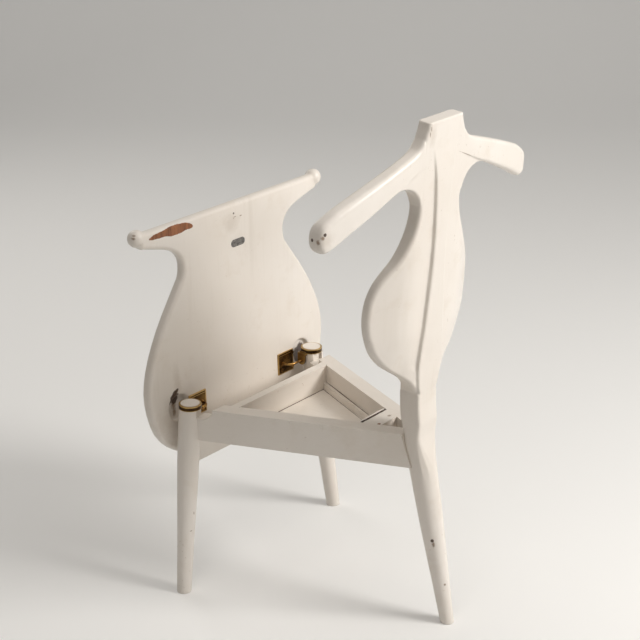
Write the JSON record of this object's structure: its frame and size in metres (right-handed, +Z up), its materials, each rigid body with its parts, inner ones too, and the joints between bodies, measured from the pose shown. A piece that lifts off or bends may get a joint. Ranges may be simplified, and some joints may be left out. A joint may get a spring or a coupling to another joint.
{
  "type": "clothes valet chair",
  "caption": "Three-legged bedroom chair whose back is a jacket hanger; the seat hinges up over a tray and its rear edge becomes a trouser bar.",
  "frame": {"origin": "on the floor, midway between left and right, at the middle of the depth of the chair with its seat raised", "axes": "+Z up, -Y towards the chair's front (the raised seat), +X towards the sitter's left"},
  "size_m": [0.59, 0.5518, 0.9507],
  "materials": {
    "painted_wood": "worn cream-white satin paint over brown wood",
    "bare_wood": "unpainted brown wood",
    "aged_brass": "dull, darkened brass"
  },
  "bodies": {
    "frame": {"front_leg_left": "painted_wood", "front_leg_right": "painted_wood", "front_rail": "painted_wood", "side_rail_left": "painted_wood", "side_rail_right": "painted_wood", "tray_front": "painted_wood", "tray_cleat_left": "painted_wood", "tray_cleat_right": "painted_wood", "rear_block": "painted_wood", "rear_lath": "painted_wood", "rear_leg": "painted_wood", "hanger_board": "painted_wood", "hanger_arm_left": "painted_wood", "hanger_arm_right": "painted_wood", "tray_floor": "painted_wood", "front_rail_dowels": "bare_wood", "side_rail_dowels": "bare_wood", "hanger_dowels": "bare_wood", "collar_left": "aged_brass", "collar_right": "aged_brass"},
    "seat": {"seat_board": "painted_wood", "trouser_bar": "painted_wood", "hinge_plate_left": "aged_brass", "hinge_plate_right": "aged_brass", "hinge_arm_left": "aged_brass", "hinge_arm_right": "aged_brass", "plate_screws_left": "aged_brass", "plate_screws_right": "aged_brass"}
  },
  "joints": [
    {"name": "seat_hinge", "type": "hinge", "parent": "frame", "child": "seat", "pos_m": [0, -0.21, 0.345], "axis": [-1, 0, 0], "range_deg": [0, 92.2]}
  ]
}
